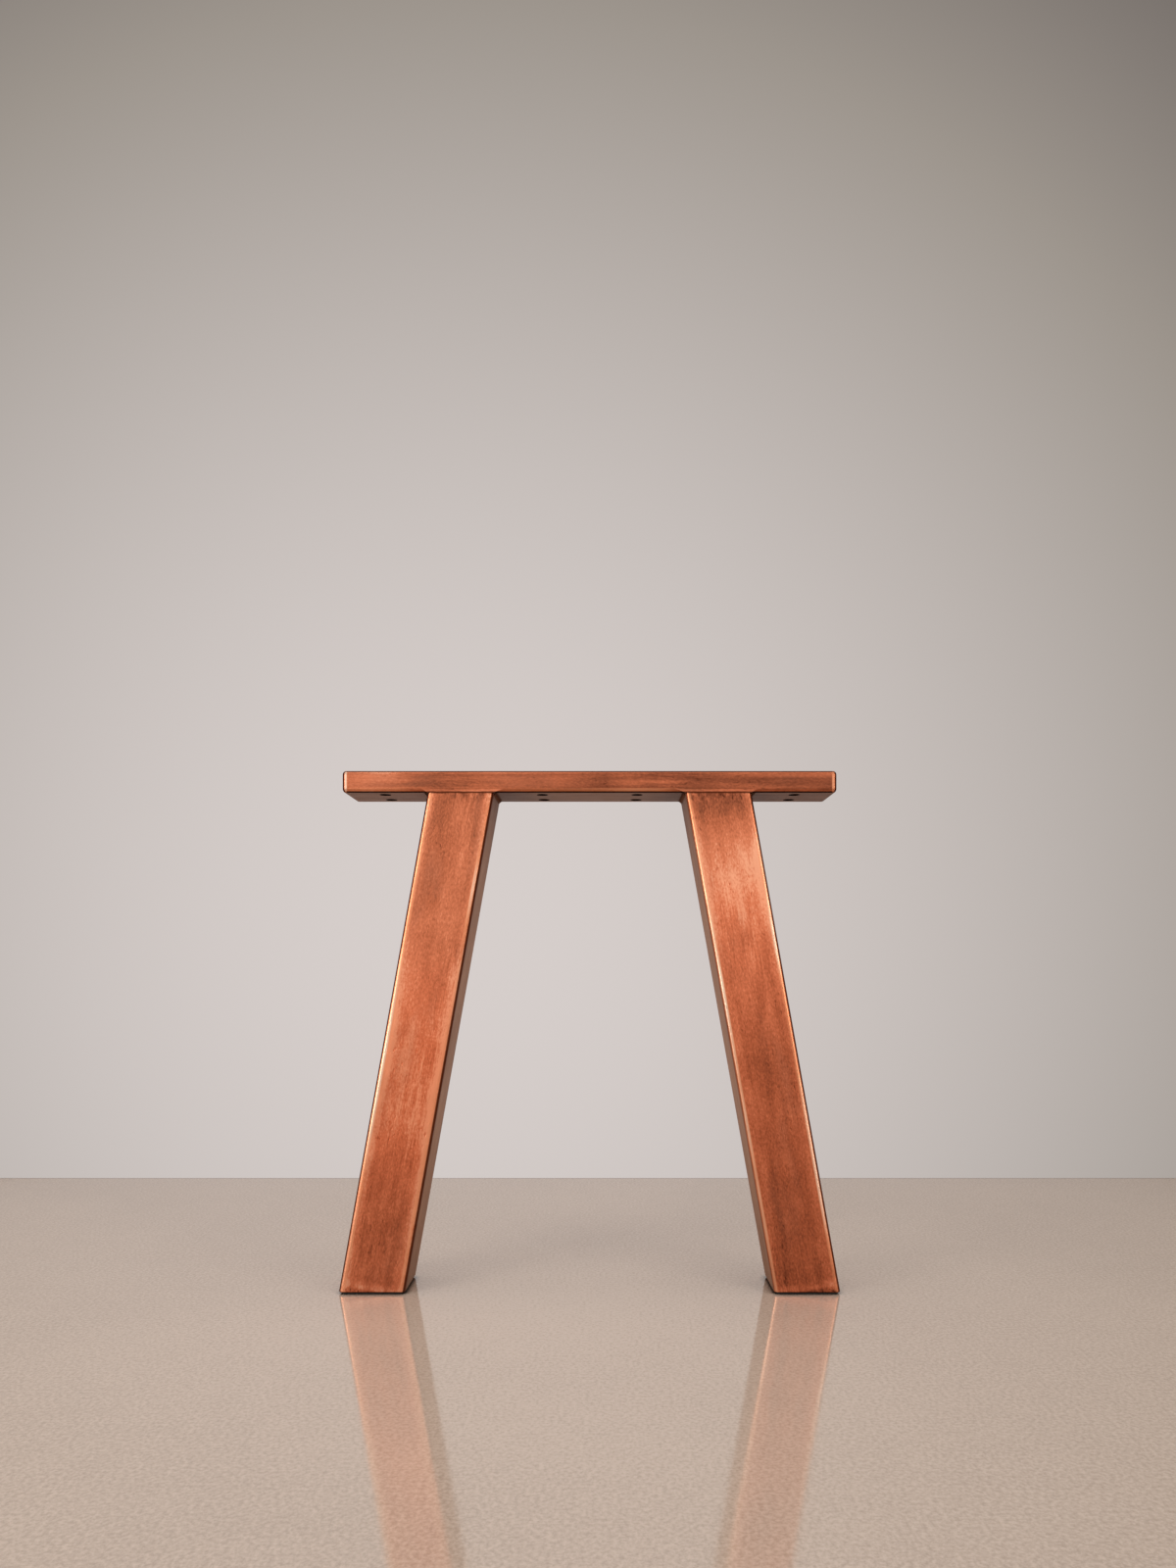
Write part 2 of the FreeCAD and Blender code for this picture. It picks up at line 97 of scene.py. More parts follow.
class Graph:
    """Short calls for the nodes of one material or world."""

    def __init__(self, tree):
        self.tree = tree
        tree.nodes.clear()

    def node(self, kind, inputs=None, **settings):
        made = self.tree.nodes.new(kind)
        for name, value in settings.items():
            setattr(made, name, value)
        for name, value in (inputs or {}).items():
            self.feed(made.inputs[name], value)
        return made

    def feed(self, socket, value):
        if isinstance(value, bpy.types.NodeSocket):
            self.tree.links.new(value, socket)
        else:
            socket.default_value = value

    def math(self, operation, a, b=0.0, clamp=False):
        made = self.node("ShaderNodeMath", {0: a, 1: b}, operation=operation, use_clamp=clamp)
        return made.outputs[0]

    def join(self, operation, values):
        result = values[0]
        for value in values[1:]:
            result = self.math(operation, result, value)
        return result

    def total(self, *values):
        return self.join("ADD", values)

    def product(self, *values):
        return self.join("MULTIPLY", values)

    def highest(self, *values):
        return self.join("MAXIMUM", values)

    def size(self, value):
        return self.math("ABSOLUTE", value)

    def vector(self, operation, a, b):
        made = self.node("ShaderNodeVectorMath", {0: a, 1: b}, operation=operation)
        return made.outputs["Value" if operation == "DOT_PRODUCT" else "Vector"]

    def axes(self, vector):
        return self.node("ShaderNodeSeparateXYZ", {0: vector}).outputs

    def step(self, value, start, end):
        """0 before start, 1 after end, smooth between. Start may be the larger one."""
        made = self.node("ShaderNodeMapRange", {"Value": value}, interpolation_type="SMOOTHSTEP")
        low, high = min(start, end), max(start, end)
        self.feed(made.inputs["From Min"], low)
        self.feed(made.inputs["From Max"], high)
        self.feed(made.inputs["To Min"], 0.0 if start < end else 1.0)
        self.feed(made.inputs["To Max"], 1.0 if start < end else 0.0)
        return made.outputs["Result"]

    def ramp(self, value, stops, smooth=True):
        made = self.node("ShaderNodeValToRGB", {"Fac": value})
        made.color_ramp.interpolation = "B_SPLINE" if smooth else "LINEAR"
        elements = made.color_ramp.elements
        while len(elements) < len(stops):
            elements.new(0.5)
        for element, (place, tint) in zip(elements, stops):
            element.position = place
            element.color = tint
        return made.outputs["Color"]

    def mix(self, amount, a, b):
        """A colour between a and b."""
        made = self.node("ShaderNodeMix", data_type="RGBA")
        self.feed(made.inputs["Factor"], amount)
        self.feed(made.inputs[6], a)
        self.feed(made.inputs[7], b)
        return made.outputs[2]

    def blend(self, amount, a, b):
        """A number between a and b."""
        made = self.node("ShaderNodeMix", data_type="FLOAT")
        self.feed(made.inputs[0], amount)
        self.feed(made.inputs[2], a)
        self.feed(made.inputs[3], b)
        return made.outputs[0]

    def noise(self, vector, per_metre, detail, roughness, seed):
        """Noise from 0 to 1, with its own count of cells per metre on each local axis."""
        place = self.vector("MULTIPLY", vector, per_metre)
        inputs = {"Vector": place, "W": seed, "Scale": 1.0, "Detail": detail,
                  "Roughness": roughness}
        return self.node("ShaderNodeTexNoise", inputs, noise_dimensions="4D").outputs["Fac"]

    def centred(self, noise, gain):
        """Noise about zero, times gain."""
        return self.product(self.math("SUBTRACT", noise, 0.5), gain)

    def bump(self, height, strength, distance):
        inputs = {"Strength": strength, "Distance": distance, "Height": height}
        return self.node("ShaderNodeBump", inputs).outputs["Normal"]


def material(name):
    made = bpy.data.materials.new(name)
    made.use_nodes = True
    return made, Graph(made.node_tree)


# Copper from dark patina to worn bright metal
COPPER_STOPS = (
    (0.00, colour(0x5A2C1C)),
    (0.25, colour(0x8A4C34)),
    (0.50, colour(0xB96746)),
    (0.75, colour(0xDA815C)),
    (1.00, colour(0xF2AA86)),
)
AGED = colour(0x8E5C48)
# Painted shade over a duller brown patina, for the faces turned from the front: its dark and light
# ends
LEG_SHADE_AND_PATINA = (colour(0x764E3A), colour(0xBA8A6C))
RAIL_SHADE_AND_PATINA = (colour(0x66473A), colour(0xA87E66))
# Painted shade: dark over oxide at the rolled edges, in the seams and above the pads, and inside
# the rail
SHADE_LINE_DARK = colour(0x582612)
SEAM_AND_CONTACT_SHADE = colour(0x3E180A)
INSIDE_DARK = colour(0x0C0604)
# Light lines painted as highlights over worn metal, on the edges and ends
WORN_WARM_HIGHLIGHT = colour(0xF09C70)
WORN_PALE_HIGHLIGHT = colour(0xF4D2B8)
EDGE_TINT = (0.60, 0.38, 0.26, 1.0)
WARMTH = (1.06, 0.82, 0.71)

# The brush's marks: cells per metre across, deep and along the member, detail, roughness, and what
# is added to the member's seed
MARKS = {
    "fine": ((620, 620, 32), 2.0, 0.6, 0),
    "broad": ((250, 250, 13), 3.0, 0.6, 3),
    "cloud": ((14, 14, 9), 2.0, 0.5, 5),
    "blotch": ((75, 75, 42), 4.0, 0.6, 7),
    "grain": ((420, 420, 210), 2.0, 0.6, 9),
    "patch": ((20, 20, 12), 1.0, 0.5, 11),
    "pits": ((330, 330, 120), 1.0, 0.5, 13),
    "uneven": ((30, 30, 9), 2.0, 0.5, 15),
    "strokes": ((16, 16, 6), 2.0, 0.5, 17),
    "dings": ((260, 260, 260), 2.0, 0.6, 19),
    "sweep": ((90, 90, 4), 2.0, 0.5, 21),
    "aged": ((26, 26, 8), 3.0, 0.6, 23),
    "scar": ((170, 170, 110), 3.0, 0.6, 25),
    "glints": ((420, 420, 180), 1.0, 0.5, 27),
    "drift": ((42, 42, 15), 3.0, 0.55, 29),
    "seam": ((90, 90, 90), 2.0, 0.6, 31),
}

# The marks that come in spots: the noise where a spot starts and where it is full
SPOTS = {
    "patch": (0.44, 0.62),
    "pits": (0.60, 0.72),
    "glints": (0.60, 0.70),
    "dings": (0.52, 0.66),
    "strokes": (0.42, 0.66),
    "aged": (0.48, 0.70),
}

# Steps in metres, each from none to full. Crests and tips are the light lines along the edges and
# across the ends of a member, painted highlights over worn metal. The painted glow next to an edge
# starts at a share of half the breadth.
CREST = (0.0032, 0.0010)
CREST_SIDE = 0.001
TIP_RISE, TIP_FALL = (0.0028, 0.0042), (0.0074, 0.0058)
GLOW_SHARE, GLOW_FULL, GLOW_WAVER = 0.45, 0.002, 0.012
END_GLOW_RISE = (0.003, 0.007)
DINGS_AT_END = (0.0045, 0.001)
SCAR_AT_START = (0.014, 0.002)
AGED_INSIDE = (0.004, 0.010)
# Painted shade along the front and back of the faces turned from the front
RIM_SHADE_AT_FACE = (0.013, 0.005)
# Painted shadow gap at the joint under the rail, and painted contact shadow just above each pad
SEAM, SEAM_WAVER = (0.0020, 0.0006), 0.0016
PAD_CONTACT_SHADE_REACH = (0.0016, 0.0004)
INSIDE_WALL, INSIDE_SIDE, INSIDE_END = 0.0003, (0.001, 0.003), (0.0055, 0.0065)

# How strongly aging, the painted highlights over worn edges and the painted shade of the seams and
# above the pads cover the copper, how rough and metallic the surfaces are, and the relief of the
# brushing, with its height in metres
AGED_AMOUNT = 0.25
WORN_WARM_HIGHLIGHT_GAIN, WORN_PALE_HIGHLIGHT_LEVELS = 1.7, (0.30, 1.0)
SEAM_AMOUNT = 0.85
COPPER_ROUGHNESS, PATINA_ROUGHNESS = 0.36, 0.55
PATINA_METALLIC = 0.15
RELIEF_STRENGTH, RELIEF_HEIGHT = 0.5, 0.0003

# Steps in how squarely the surface faces a direction, each from none to full. A dark line of
# painted shade over dark oxide rises from its face's own start.
ROLLED = (0.06, 0.36)
TURNED_FRONT = (0.5, 0.75)
LINE_RISE, LINE_FALL = 0.25, (0.995, 0.95)
FLAT = (0.80, 0.98)
SEAM_UPRIGHT = (0.92, 0.60)

# Strengths of the brushing, and bands along each member: from the rail to the floor on a leg, from
# the left to the right on the rail. The tone bands are painted light and shade over the patina's
# own tone, the glow bands a painted glow next to the edges, and the side bands the painted shade
# of the faces turned from the front, darker where a leg meets the rail. The crests, light lines
# painted as highlights over worn metal, each keyed 1 or -1 for its side of the member, have their
# distance from the edge at both ends and then their bands. A face has how dark the painted shade
# over dark oxide turns on the rolled edge towards it, how early it turns dark and how much painted
# shade over a duller brown patina its flat takes.
LEG_LOOKS = {
    "mottle": 1.0,
    "sweep": 0.40,
    "tips": (0.0, 0.020),
    "tip_glow": 0.30,
    "worn_highlight_tips": (0.0, 0.0),
    "side": (
        (0.0, 0.0), (0.04, 0.10), (0.12, 0.42), (0.30, 0.56), (0.60, 0.50), (0.80, 0.46),
        (1.0, 0.34)),
}
LEG_SIDE_LOOKS = {
    "left": {
        "seed": -10.0,
        "rim_shade": 0.50,
        "inner": (0.95, 0.34, 1.0),
        "outer": (0.95, 0.46, 0.55),
        "tone": (
            (0.0, 0.33), (0.05, 0.54), (0.20, 0.52), (0.34, 0.60), (0.50, 0.90), (0.66, 0.88),
            (0.80, 0.47), (0.90, 0.53), (1.0, 0.64)),
        "glow": (
            (0.0, 0.28), (0.10, 0.22), (0.20, 0.14), (0.36, 0.26), (0.52, 0.45), (0.70, 0.54),
            (0.80, 0.45), (0.93, 0.46), (1.0, 0.26)),
        "warm": (
            (0.0, 0.0), (0.30, 0.0), (0.42, 0.7), (0.55, 1.0), (0.72, 0.7), (0.85, 0.2),
            (1.0, 0.2)),
        "crests": {
            1: ((0.0058, 0.0058), (
                (0.0, 0.30), (0.05, 0.38), (0.18, 0.40), (0.28, 0.38), (0.38, 0.60), (0.46, 0.85),
                (0.58, 0.85), (0.68, 0.75), (0.78, 0.50), (0.92, 0.50), (1.0, 0.40))),
            -1: ((0.0050, 0.0062), (
                (0.0, 0.12), (0.10, 0.20), (0.15, 0.65), (0.20, 0.75), (0.26, 0.25), (0.34, 0.08),
                (0.46, 0.16), (0.58, 0.24), (0.70, 0.36), (0.80, 0.34), (0.92, 0.38),
                (1.0, 0.36))),
        },
    },
    "right": {
        "seed": 30.0,
        "rim_shade": 0.35,
        "inner": (0.0, 0.60, 1.0),
        "outer": (0.85, 0.36, 0.55),
        "tone": (
            (0.0, 0.26), (0.05, 0.43), (0.15, 0.99), (0.24, 0.80), (0.34, 0.64), (0.50, 0.54),
            (0.75, 0.48), (0.86, 0.50), (0.93, 0.42), (1.0, 0.34)),
        "glow": (
            (0.0, 0.12), (0.20, 0.18), (0.40, 0.17), (0.60, 0.18), (0.80, 0.17), (1.0, 0.15)),
        "warm": (
            (0.0, 0.0), (0.15, 0.1), (0.22, 0.6), (0.40, 0.4), (0.70, 0.4), (1.0, 0.2)),
        "crests": {
            1: ((0.0054, 0.0050), (
                (0.0, 0.05), (0.10, 0.10), (0.18, 0.40), (0.26, 0.75), (0.33, 0.80), (0.42, 0.30),
                (0.57, 0.34), (0.66, 0.80), (0.80, 0.85), (0.92, 0.50), (1.0, 0.30))),
            -1: ((0.0046, 0.0030), (
                (0.0, 0.35), (0.05, 0.50), (0.18, 0.55), (0.28, 0.85), (0.46, 0.90), (0.57, 0.64),
                (0.80, 0.62), (0.92, 0.58), (1.0, 0.50))),
        },
    },
}
RAIL_LOOKS = {
    "seed": 40.0,
    "mottle": 0.60,
    "sweep": 0.80,
    "tips": (0.008, 0.008),
    "tip_glow": 0.12,
    "worn_highlight_tips": (0.95, 0.42),
    "rim_shade": 0.0,
    "down": (0.62, 0.76, 1.0),
    "up": (0.6, 0.35, 0.5),
    "left": (1.0, 0.12, 0.6),
    "right": (1.0, 0.20, 0.6),
    "side": (
        (0.0, 0.44), (0.26, 0.48), (0.32, 0.0), (0.35, 0.08), (0.40, 0.44), (0.52, 0.54),
        (0.62, 0.42), (0.67, 0.05), (0.70, 0.20), (0.84, 0.10), (0.92, 0.33), (1.0, 0.32)),
    "tone": (
        (0.0, 0.54), (0.05, 0.74), (0.10, 0.58), (0.14, 0.34), (0.22, 0.26), (0.30, 0.47),
        (0.38, 0.48), (0.46, 0.30), (0.53, 0.28), (0.61, 0.33), (0.69, 0.29), (0.77, 0.35),
        (0.85, 0.20), (0.92, 0.35), (1.0, 0.33)),
    "glow": ((0.0, 0.14), (1.0, 0.14)),
    "warm": ((0.0, 0.0), (1.0, 0.2)),
    "crests": {
        -1: ((0.0032, 0.0032), (
            (0.0, 0.25), (0.12, 0.22), (0.14, 0.0), (0.31, 0.0), (0.34, 0.12), (0.45, 0.24),
            (0.55, 0.36), (0.64, 0.60), (0.68, 0.0), (0.88, 0.0), (1.0, 0.05))),
    },
}


class Member:
    """The coordinates and surface directions of one straight member, as sockets of its graph.

    size is the member's length and half its breadth."""

    def __init__(self, g, origin, along, across, size):
        self.g = g
        length, self.half_breadth = size
        coords = g.node("ShaderNodeTexCoord")
        place = coords.outputs["Object"]
        self.normal = coords.outputs["Normal"]
        axes = g.axes(place)
        self.height = axes["Z"]
        offset = g.vector("SUBTRACT", place, origin)
        self.run = g.vector("DOT_PRODUCT", offset, along)
        self.left = g.math("SUBTRACT", length, self.run)
        self.share = g.math("DIVIDE", self.run, length)
        self.breadth = g.vector("DOT_PRODUCT", offset, across)
        inputs = {"X": self.breadth, "Y": axes["Y"], "Z": self.run}
        self.local = g.node("ShaderNodeCombineXYZ", inputs).outputs[0]
        self.off_middle = g.size(axes["Y"])
        self.edge_in = g.math("SUBTRACT", self.half_breadth, g.size(self.breadth))
        self.face_in = g.math("SUBTRACT", HALF_DEPTH, self.off_middle)
        self.inset = g.highest(self.edge_in, self.face_in)
        turned = g.axes(self.normal)
        self.depth_part = g.size(turned["Y"])
        self.level_part = g.size(turned["Z"])
        self.along_part = g.size(g.vector("DOT_PRODUCT", self.normal, along))
        self.across_part = g.size(g.vector("DOT_PRODUCT", self.normal, across))

    def bands(self, levels):
        """A level that changes along the member in a few broad bands."""
        return self.g.ramp(self.share, [(place, grey(level)) for place, level in levels])


def brush_marks(g, member, seed):
    marks = {}
    for name, (per_metre, detail, roughness, added) in MARKS.items():
        level = g.noise(member.local, per_metre, detail, roughness, seed + added)
        marks[name] = g.step(level, *SPOTS[name]) if name in SPOTS else level
    marks["pits"] = g.product(marks["pits"], marks["patch"])
    return marks


def worn_highlight_lines(g, member, marks, looks):
    """Where the edges and ends are worn, with light lines painted on as highlights."""
    worn_highlight = 0.0
    for hand, (places, levels) in looks["crests"].items():
        away = g.size(g.math("SUBTRACT", member.edge_in, g.blend(member.share, *places)))
        on_side = g.step(member.breadth, -CREST_SIDE * hand, CREST_SIDE * hand)
        worn_highlight = g.highest(worn_highlight, g.product(g.step(away, *CREST), member.bands(levels), on_side))
    for inward, level in zip((member.run, member.left), looks["worn_highlight_tips"]):
        tip = g.product(g.step(inward, *TIP_RISE), g.step(inward, *TIP_FALL), level)
        worn_highlight = g.highest(worn_highlight, tip)
    uneven = g.total(0.9, g.centred(marks["uneven"], 1.2))
    worn_highlight = g.product(worn_highlight, g.step(member.depth_part, *TURNED_FRONT))
    return g.math("MULTIPLY", worn_highlight, uneven, clamp=True)


def copper_tone(g, member, marks, looks):
    """0 on the darkest copper and 1 on the brightest."""
    mottle = looks["mottle"]
    start_tip, end_tip = looks["tips"]
    # Painted glow next to each edge and near the member's ends, partly wear
    reach = g.total(member.inset, g.centred(marks["broad"], GLOW_WAVER))
    edge_glow = g.step(reach, member.half_breadth * GLOW_SHARE, GLOW_FULL)
    starting = g.step(member.run, start_tip, 0.0)
    ending = g.product(g.step(member.left, end_tip, end_tip * 0.4),
                       g.step(member.left, *END_GLOW_RISE))
    ends = g.product(g.highest(starting, ending), g.total(0.8, g.centred(marks["blotch"], 1.8)))
    dings = g.product(marks["dings"], g.step(member.left, *DINGS_AT_END))
    strokes = marks["strokes"]
    # The tone bands carry painted light and shade over the patina's own tone; glints are painted
    # highlights
    return g.total(
        member.bands(looks["tone"]),
        g.centred(marks["cloud"], 0.50),
        g.centred(marks["drift"], 0.50 * mottle),
        g.centred(marks["sweep"], looks["sweep"]),
        g.centred(marks["blotch"], 0.20 * mottle),
        g.product(g.centred(marks["broad"], 0.70), strokes),
        g.product(g.centred(marks["fine"], 0.55), g.total(strokes, 0.25)),
        g.centred(marks["grain"], 0.70 * mottle),
        g.product(marks["glints"], 0.10 * mottle),
        g.product(marks["pits"], -0.25 * mottle),
        g.product(edge_glow, member.bands(looks["glow"])),
        g.product(ends, looks["tip_glow"]),
        g.product(dings, -0.6),
        g.product(g.centred(marks["scar"], 1.3), g.step(member.run, *SCAR_AT_START)),
    )


def turned_face_shade(g, member, faces, rim_shade_amount):
    """Painted shade over a duller brown patina on the faces turned from the front, and dark lines
    of painted shade over oxide at their rolled edges and rims.
    """
    side_shade_and_patina, line = 0.0, 0.0
    for direction, line_amount, line_start, side_shade_amount in faces:
        facing = g.vector("DOT_PRODUCT", member.normal, direction)
        turned = g.product(g.step(facing, line_start, line_start + LINE_RISE),
                           g.step(facing, *LINE_FALL), line_amount)
        line = g.highest(line, turned)
        side_shade_and_patina = g.highest(side_shade_and_patina, g.product(g.step(facing, *FLAT), side_shade_amount))
    # Painted shade along the front and back of the faces turned from the front
    rim_shade = g.product(g.step(member.face_in, *RIM_SHADE_AT_FACE), side_shade_and_patina, rim_shade_amount)
    return side_shade_and_patina, g.highest(line, rim_shade)


def seam_shade(g, member, marks):
    """Painted shade: the dark weld joint where a leg meets the rail with a painted shadow gap, and
    a painted contact shadow just above a foot pad.
    """
    waver = g.centred(marks["seam"], SEAM_WAVER)
    seam = g.step(g.size(g.total(member.height, -UNDERSIDE, waver)), *SEAM)
    seam = g.product(seam, g.step(member.level_part, *SEAM_UPRIGHT))
    pad_contact_shade = g.step(member.height, *[PAD_HIGH.z + above for above in PAD_CONTACT_SHADE_REACH])
    return g.highest(seam, pad_contact_shade)


def inside_shade(g, member):
    """Painted shade on the inside of the rail, seen through its holes."""
    return g.product(
        g.step(member.height, UNDERSIDE, UNDERSIDE + INSIDE_WALL),
        g.step(member.off_middle, *[HALF_DEPTH - inward for inward in INSIDE_SIDE]),
        g.step(member.height, RAIL_HIGH.z, RAIL_HIGH.z - INSIDE_WALL),
        g.step(g.math("MINIMUM", member.run, member.left), *INSIDE_END),
    )


def rolled_edge(g, member):
    """1 on the rolled edges and 0 on the flats."""
    long_edge = g.product(member.across_part, member.depth_part)
    end_edge = g.product(member.along_part, g.highest(member.across_part, member.depth_part))
    return g.step(g.highest(long_edge, end_edge), *ROLLED)


def copper(name, member_place, looks, faces, side_shade_tones):
    """Hand-brushed antique copper on one straight member, in the member's own directions.

    member_place is the member's origin, the directions along and across it, and its size. faces
    has each face's direction and then its three numbers from the looks."""
    made, g = material(name)
    member = Member(g, *member_place)
    marks = brush_marks(g, member, looks["seed"])
    fine, broad, cloud, blotch = [marks[key] for key in ("fine", "broad", "cloud", "blotch")]

    tint = g.ramp(copper_tone(g, member, marks, looks), COPPER_STOPS, smooth=False)
    aged = g.product(marks["aged"], g.step(member.inset, *AGED_INSIDE), AGED_AMOUNT)
    tint = g.mix(aged, tint, AGED)
    warmer = g.vector("MULTIPLY", tint, WARMTH)
    tint = g.mix(member.bands(looks["warm"]), tint, warmer)
    # Light lines painted as highlights over worn metal, along the edges and ends
    worn_highlight = worn_highlight_lines(g, member, marks, looks)
    tint = g.mix(g.math("MULTIPLY", worn_highlight, WORN_WARM_HIGHLIGHT_GAIN, clamp=True), tint, WORN_WARM_HIGHLIGHT)
    tint = g.mix(g.step(worn_highlight, *WORN_PALE_HIGHLIGHT_LEVELS), tint, WORN_PALE_HIGHLIGHT)

    # Painted shade, over a duller brown patina, on the faces turned from the front and dark at
    # their edges
    side_shade_and_patina, line = turned_face_shade(g, member, faces, looks["rim_shade"])
    side_shade_tone = g.total(member.bands(looks["side"]), g.centred(cloud, 0.5),
                          g.centred(broad, 0.9), g.centred(fine, 0.4))
    tint = g.mix(side_shade_and_patina, tint, g.mix(side_shade_tone, *side_shade_tones))
    tint = g.mix(line, tint, SHADE_LINE_DARK)
    # Painted shade in the seams, above the pads and inside the rail
    inside = inside_shade(g, member)
    tint = g.mix(g.product(seam_shade(g, member, marks), SEAM_AMOUNT), tint, SEAM_AND_CONTACT_SHADE)
    tint = g.mix(inside, tint, INSIDE_DARK)

    rough = g.total(
        g.blend(side_shade_and_patina, COPPER_ROUGHNESS, PATINA_ROUGHNESS),
        g.product(inside, 0.35),
        g.centred(fine, 0.25),
        g.centred(blotch, 0.25),
        g.product(rolled_edge(g, member), -0.03),
    )
    relief = g.total(
        g.centred(fine, 0.5),
        g.centred(broad, 0.6),
        g.centred(marks["grain"], 0.5),
        g.product(marks["pits"], -1.0),
    )
    covered = g.product(side_shade_and_patina, g.math("SUBTRACT", 1.0, inside))
    surface = g.node("ShaderNodeBsdfPrincipled", {
        "Base Color": tint,
        "Metallic": g.blend(covered, 1.0, PATINA_METALLIC),
        "Roughness": rough,
        "Normal": g.bump(relief, RELIEF_STRENGTH, RELIEF_HEIGHT),
        "Specular Tint": EDGE_TINT,
    })
    g.node("ShaderNodeOutputMaterial", {"Surface": surface.outputs[0]})
    return made


def leg_finish(side):
    hand = SIDES[side]
    along = Vector((hand * math.sin(LEAN), 0, -math.cos(LEAN)))
    outward = Vector((hand * math.cos(LEAN), 0, math.sin(LEAN)))
    origin = Vector((hand * LEG_TOP_X, 0, UNDERSIDE))
    looks = LEG_LOOKS | LEG_SIDE_LOOKS[side]
    faces = ((-outward, *looks["inner"]), (outward, *looks["outer"]))
    member_place = (origin, along, outward, (LEG_LENGTH, LEG_HALF_WIDTH))
    return copper(f"copper_{side}", member_place, looks, faces, LEG_SHADE_AND_PATINA)


def rail_finish():
    down = Vector((0, 0, -1))
    side = Vector((1, 0, 0))
    origin = Vector((-RAIL_END, 0, RAIL_MIDDLE))
    towards = {"down": down, "up": -down, "left": -side, "right": side}
    faces = [(direction, *RAIL_LOOKS[face]) for face, direction in towards.items()]
    member_place = (origin, side, -down, (2 * RAIL_END, RAIL_HIGH.z - RAIL_MIDDLE))
    return copper("copper_rail", member_place, RAIL_LOOKS, faces, RAIL_SHADE_AND_PATINA)


def weld_material():
    """Weld bead under the same finish: painted shade dark in the corner at its toes, and a painted
    highlight along its middle and on its ripples, partly wear.
    """
    made, g = material("weld_finish")
    place = g.node("ShaderNodeTexCoord").outputs["Object"]
    cloud = g.noise(place, (140, 140, 140), 3.0, 0.6, 1.0)
    speck = g.noise(place, (900, 900, 900), 2.0, 0.6, 2.0)
    geometry = g.node("ShaderNodeNewGeometry")
    turned = g.axes(geometry.outputs["Normal"])
    spread = g.math("MINIMUM", *[g.size(turned[axis]) for axis in "XZ"])
    middle_highlight = g.step(spread, 0.50, 0.66)
    ripple_highlight = g.step(geometry.outputs["Pointiness"], 0.46, 0.58)
    # Painted highlight along the bead's middle and ripples, partly wear; its dark colour is
    # painted shade at the toes
    tone = g.total(g.product(middle_highlight, 0.7), g.product(ripple_highlight, 0.35), g.centred(cloud, 0.5),
                   g.centred(speck, 0.3))
    tone = g.math("ADD", tone, 0.0, clamp=True)
    surface = g.node("ShaderNodeBsdfPrincipled", {
        "Base Color": g.mix(tone, colour(0x1C1009), colour(0x604434)),
        "Metallic": 0.9,
        "Roughness": g.total(0.45, g.centred(speck, 0.2)),
        "Normal": g.bump(speck, 0.4, 0.0003),
        "Specular Tint": EDGE_TINT,
    })
    g.node("ShaderNodeOutputMaterial", {"Surface": surface.outputs[0]})
    return made


def pad_material():
    made, g = material("pad_finish")
    place = g.node("ShaderNodeTexCoord").outputs["Object"]
    speck = g.noise(place, (700, 700, 700), 3.0, 0.6, 4.0)
    surface = g.node("ShaderNodeBsdfPrincipled", {
        "Base Color": g.mix(speck, colour(0x0C0A09), colour(0x2A2522)),
        "Roughness": 0.85,
        "Normal": g.bump(speck, 0.5, 0.0002),
    })
    g.node("ShaderNodeOutputMaterial", {"Surface": surface.outputs[0]})
    return made


# Weld beads between the legs and the underside of the rail. Their points, then lengths in metres
BEAD_STATIONS = 160
BEAD_ARC_POINTS = 12
BEAD_PITCH = 0.0031
BEAD_RISE = 0.0005
BEAD_RUN_OUT = 0.0015
BEAD_BOW = 0.0012
BEAD_WAVER = 0.0004
# The waver's radians per metre, the shares for the hollow and for the ends, and the power and the
# level that shape a ripple
BEAD_WAVER_RATE = 900
BEAD_SAG = 0.22
BEAD_TIP = 0.02
RIPPLE_POWER, RIPPLE_LEVEL = 0.6, 0.8


